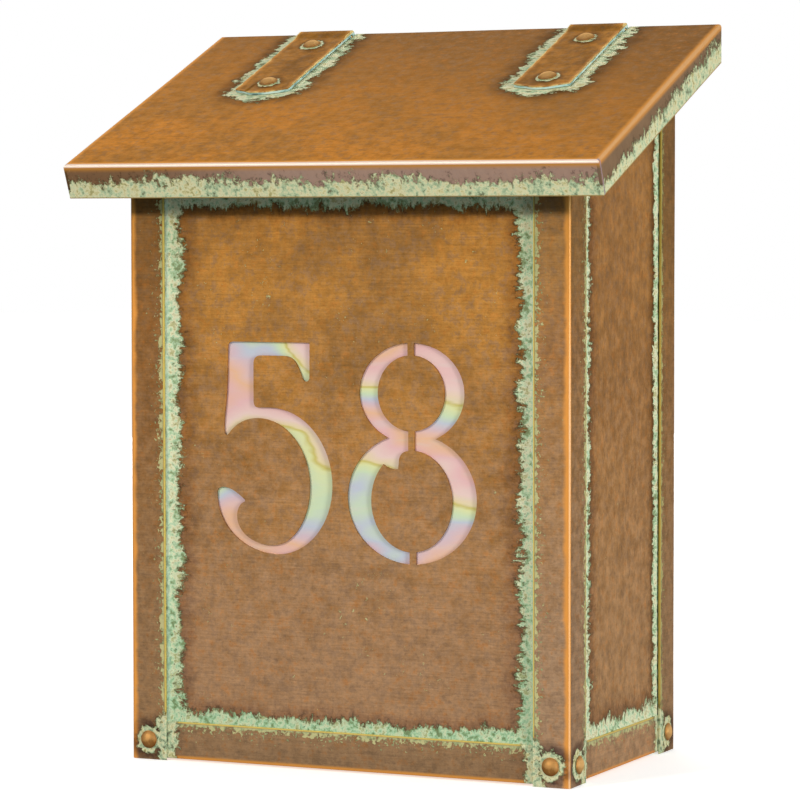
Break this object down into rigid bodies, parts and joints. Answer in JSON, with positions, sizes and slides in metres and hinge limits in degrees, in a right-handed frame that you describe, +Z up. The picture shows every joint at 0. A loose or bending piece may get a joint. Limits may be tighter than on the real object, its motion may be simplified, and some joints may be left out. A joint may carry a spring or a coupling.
{
  "type": "wall mounted mailbox",
  "caption": "Wall mounted mailbox: riveted sheet copper box with a sloped lid on strap hinges and cut-out numerals backed by glass.",
  "frame": {"origin": "on the rear face of the back plate, at mid width and 190 mm above the bottom edge, where the box lies against the wall", "axes": "+X to the right seen from the front, +Y into the wall, +Z up"},
  "size_m": [0.3048, 0.1796, 0.3959],
  "materials": {
    "panel_copper": "aged copper sheet, brushed, brown, with verdigris along the seams",
    "angle_copper": "aged copper angle, orange along the worn bends, yellow-green flecks on the edges",
    "lid_copper": "aged copper sheet, golden brown, cream and mint verdigris along its lower edges",
    "hinge_copper": "aged copper strap with bright worn edges",
    "rivet_copper": "worn bright copper domes in a ring of verdigris",
    "plain_copper": "dull brown copper, hardly weathered",
    "pin_brass": "drawn rod",
    "art_glass": "opaque streaky art glass with an iridescent face"
  },
  "bodies": {
    "housing": {"back_plate": "plain_copper", "floor_pan": "plain_copper", "front_panel": "panel_copper", "left_side_panel": "panel_copper", "right_side_panel": "panel_copper", "front_left_post": "angle_copper", "front_right_post": "angle_copper", "rear_left_post": "angle_copper", "rear_right_post": "angle_copper", "bottom_front_rail": "angle_copper", "bottom_left_rail": "angle_copper", "bottom_right_rail": "angle_copper", "top_front_rail": "angle_copper", "glass_pane": "art_glass", "glass_clip_upper_left": "plain_copper", "glass_clip_upper_right": "plain_copper", "glass_clip_lower_left": "plain_copper", "glass_clip_lower_right": "plain_copper", "corner_rivet_front_left": "rivet_copper", "corner_rivet_front_right": "rivet_copper", "corner_rivet_left_front": "rivet_copper", "corner_rivet_left_rear": "rivet_copper", "corner_rivet_right_front": "rivet_copper", "corner_rivet_right_rear": "rivet_copper", "top_rivet_front_left": "rivet_copper", "top_rivet_front_right": "rivet_copper", "post_rivet_lower_left": "rivet_copper", "post_rivet_lower_right": "rivet_copper", "post_rivet_upper_left": "rivet_copper", "post_rivet_upper_right": "rivet_copper", "hinge_leaf_left": "hinge_copper", "hinge_leaf_right": "hinge_copper", "hinge_pin_left": "pin_brass", "hinge_pin_right": "pin_brass", "leaf_rivet_left_1": "rivet_copper", "leaf_rivet_left_2": "rivet_copper", "leaf_rivet_right_1": "rivet_copper", "leaf_rivet_right_2": "rivet_copper"},
    "lid": {"lid_shell": "lid_copper", "hinge_strap_left": "hinge_copper", "hinge_strap_right": "hinge_copper", "strap_rivet_left_front": "rivet_copper", "strap_rivet_left_rear": "rivet_copper", "strap_rivet_right_front": "rivet_copper", "strap_rivet_right_rear": "rivet_copper"}
  },
  "joints": [
    {"name": "lid_hinge", "type": "hinge", "parent": "housing", "child": "lid", "pos_m": [0, -0.0045, 0.20198], "axis": [-1, 0, 0], "range_deg": [0, 105]}
  ]
}
